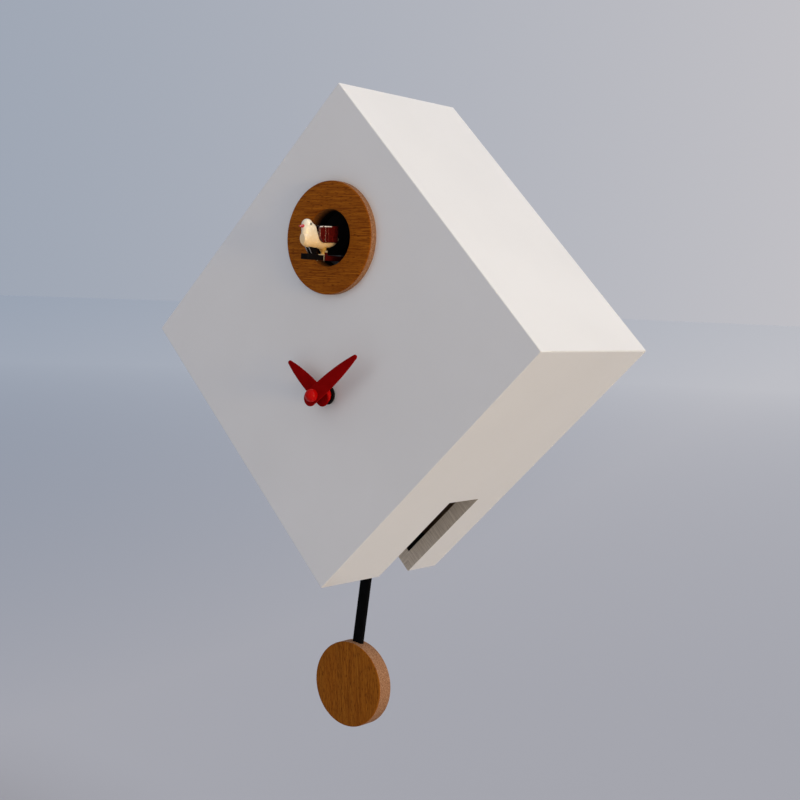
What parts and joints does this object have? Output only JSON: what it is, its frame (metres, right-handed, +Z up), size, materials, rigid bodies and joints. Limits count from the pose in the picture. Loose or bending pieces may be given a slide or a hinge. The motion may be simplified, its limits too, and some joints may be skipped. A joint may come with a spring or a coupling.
{
  "type": "cuckoo clock",
  "caption": "Wall cuckoo clock: square white case hung on one corner, round wooden doorway with a sliding bird, two leaf hands and a disc pendulum in a slot at the bottom corner.",
  "frame": {"origin": "on the wall plane, at the centre of the square case's back face", "axes": "+X right as seen from the front, +Y into the wall, -Y out to the viewer, +Z up"},
  "size_m": [0.3252, 0.152, 0.4369],
  "materials": {
    "white_lacquer": "satin white lacquer over wood board",
    "back_board": "plain hardboard",
    "beech": "oiled beech, satin",
    "zinc_plate": "zinc plated steel",
    "hand_red": "satin dark red paint",
    "ball_red": "gloss red lacquer",
    "black_plastic": "moulded, fine texture",
    "grey_plastic": "moulded, fine texture",
    "ivory_plastic": "moulded acetal, smooth",
    "brass": "turned, bright",
    "copper_coil": "enamelled wire winding",
    "soft_iron": "stamped laminations",
    "magnet": "nickel plated or ferrite",
    "cell_jacket": "printed-film jacket, plain",
    "rod_black": "satin black paint",
    "bird_cream": "hand-painted, satin",
    "wing_red": "hand-painted gloss red-brown",
    "beak_red": "gloss red paint",
    "eye_black": "gloss black paint",
    "peg_wood": "turned peg, light wood",
    "board_green": "solder mask",
    "rubber": "soft washer",
    "cone_paper": "pressed paper cone",
    "white_plastic": "moulded, smooth"
  },
  "bodies": {
    "case": {"front_panel": "white_lacquer", "side_upper_left": "white_lacquer", "side_upper_right": "white_lacquer", "side_lower_left": "white_lacquer", "side_lower_right": "white_lacquer", "back_panel": "back_board", "back_panel_screws": "zinc_plate", "hanger_plate": "zinc_plate", "hanger_screws": "zinc_plate", "bird_ring": "beech", "movement_front_shell": "black_plastic", "movement_rear_shell": "black_plastic", "rubber_washer": "rubber", "hub_nut": "black_plastic", "stepper_coil": "copper_coil", "stepper_stator": "soft_iron", "time_cell": "cell_jacket", "cell_contacts": "zinc_plate", "pivot_pin": "zinc_plate", "drive_coil": "copper_coil", "drive_chassis": "grey_plastic", "chassis_screws": "zinc_plate", "drive_motor": "zinc_plate", "wheel_axle": "zinc_plate", "end_switch": "black_plastic", "circuit_board": "board_green", "board_parts": "grey_plastic", "speaker_frame": "zinc_plate", "speaker_cone": "cone_paper", "speaker_magnet": "magnet", "battery_box": "black_plastic", "batteries": "cell_jacket", "battery_contacts": "zinc_plate", "battery_cover": "black_plastic"},
    "minute_work": {"centre_wheel": "brass", "minute_hand": "hand_red", "hub_cap": "ball_red"},
    "hour_work": {"hour_wheel": "ivory_plastic", "hour_hand": "hand_red", "hub_bead": "ball_red"},
    "setting_work": {"motion_wheel": "ivory_plastic", "setting_knob": "black_plastic"},
    "third_work": {"third_wheel": "ivory_plastic"},
    "rotor_work": {"rotor": "magnet"},
    "pendulum": {"pendulum_hanger": "grey_plastic", "pendulum_magnet": "magnet", "pendulum_rod": "rod_black", "pendulum_bob": "beech"},
    "bird": {"bird_body": "bird_cream", "bird_wings": "wing_red", "bird_beak": "beak_red", "bird_eyes": "eye_black", "bird_peg": "peg_wood", "bird_strut": "rod_black", "perch_carriage": "black_plastic"},
    "rack_drive": {"rack_wheel": "ivory_plastic"},
    "motor_shaft": {"motor_pinion": "brass"},
    "volume_control": {"volume_wheel": "black_plastic"},
    "switch_slider": {"sound_switch": "white_plastic"}
  },
  "joints": [
    {"name": "minute_turn", "type": "hinge", "parent": "case", "child": "minute_work", "pos_m": [0, -0.13, -0.0362], "axis": [0, 1, 0], "continuous": true},
    {"name": "hour_turn", "type": "hinge", "parent": "case", "child": "hour_work", "pos_m": [0, -0.128, -0.0362], "axis": [0, 1, 0], "continuous": true},
    {"name": "setting_turn", "type": "hinge", "parent": "case", "child": "setting_work", "pos_m": [-0.00688, -0.1, -0.04603], "axis": [0, 1, 0], "continuous": true},
    {"name": "third_turn", "type": "hinge", "parent": "case", "child": "third_work", "pos_m": [-0.01005, -0.1, -0.0304], "axis": [0, 1, 0], "continuous": true},
    {"name": "rotor_turn", "type": "hinge", "parent": "case", "child": "rotor_work", "pos_m": [0.00035, -0.1, -0.0244], "axis": [0, 1, 0], "continuous": true},
    {"name": "pendulum_swing", "type": "hinge", "parent": "case", "child": "pendulum", "pos_m": [0, -0.05, 0.014], "axis": [0, -1, 0], "range_deg": [-0.6, 13.8]},
    {"name": "bird_slide", "type": "slide", "parent": "case", "child": "bird", "axis": [0, 1, 0], "range_m": [0, 0.042]},
    {"name": "rack_wheel_turn", "type": "hinge", "parent": "case", "child": "rack_drive", "pos_m": [0, -0.061, 0.0365], "axis": [-1, 0, 0], "range_deg": [0, 240.65]},
    {"name": "motor_turn", "type": "hinge", "parent": "case", "child": "motor_shaft", "pos_m": [0, -0.07314, 0.02768], "axis": [-1, 0, 0], "range_deg": [-481.3, 0]},
    {"name": "volume_turn", "type": "hinge", "parent": "case", "child": "volume_control", "pos_m": [-0.0265, -0.033, 0.022], "axis": [1, 0, 0], "range_deg": [0, 270]},
    {"name": "switch_slide", "type": "slide", "parent": "case", "child": "switch_slider", "axis": [0, 0, 1], "range_m": [0, 0.004]}
  ],
  "couplings": [
    {"joint": "hour_turn", "follows": "minute_turn", "ratio": 0.083333},
    {"joint": "setting_turn", "follows": "minute_turn", "ratio": -0.33333},
    {"joint": "third_turn", "follows": "minute_turn", "ratio": -4.8},
    {"joint": "rotor_turn", "follows": "minute_turn", "ratio": 24},
    {"joint": "rack_wheel_turn", "follows": "bird_slide", "rad_per_m": 100},
    {"joint": "motor_turn", "follows": "bird_slide", "rad_per_m": -200}
  ]
}
